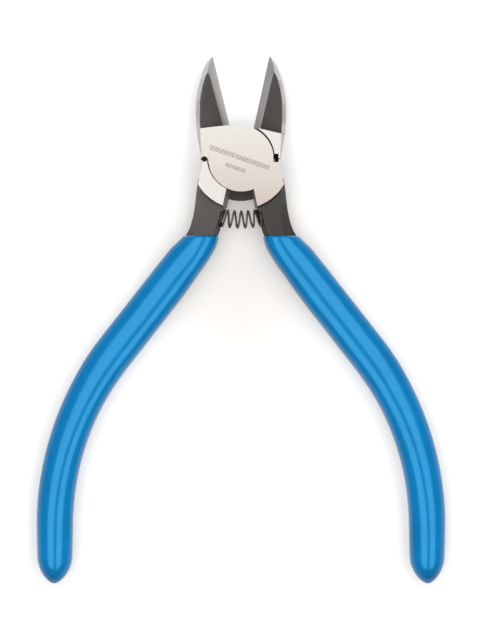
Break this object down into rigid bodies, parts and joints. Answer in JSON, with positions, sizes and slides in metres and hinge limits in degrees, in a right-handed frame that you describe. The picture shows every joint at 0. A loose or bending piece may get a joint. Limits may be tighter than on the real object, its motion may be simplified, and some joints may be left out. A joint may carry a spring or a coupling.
{
  "type": "flush cut pliers",
  "caption": "Spring-opened flush cut pliers with a round lap joint, narrow tapering cutting jaws and long bowed handles in smooth blue sleeve grips.",
  "frame": {"origin": "pivot axis at the flat back face of the head, which is the plane the pliers lie on", "axes": "+Y from the pivot towards the jaw tips, +Z out of the ground front face, +X to the right seen from the front"},
  "size_m": [0.0984, 0.1269, 0.009],
  "materials": {
    "lever_steel": "satin ground faces on black oxide forging",
    "rivet_steel": "ground flush",
    "spring_steel": "dark oiled wire",
    "peg_steel": "dark",
    "grip_plastic": "glossy dipped vinyl"
  },
  "bodies": {
    "front_half": {"front_lever": "lever_steel", "grip_right": "grip_plastic", "spring_peg_right": "peg_steel", "pivot_rivet": "rivet_steel", "return_spring": "spring_steel"},
    "rear_half": {"rear_lever": "lever_steel", "grip_left": "grip_plastic", "spring_peg_left": "peg_steel"}
  },
  "joints": [
    {"name": "pivot", "type": "hinge", "parent": "front_half", "child": "rear_half", "pos_m": [0, 0, 0.0045], "axis": [0, 0, 1], "range_deg": [0, 30.4], "stiffness_Nm_per_rad": 0.8, "springref_deg": -14.32, "deforming": ["return_spring"]}
  ]
}
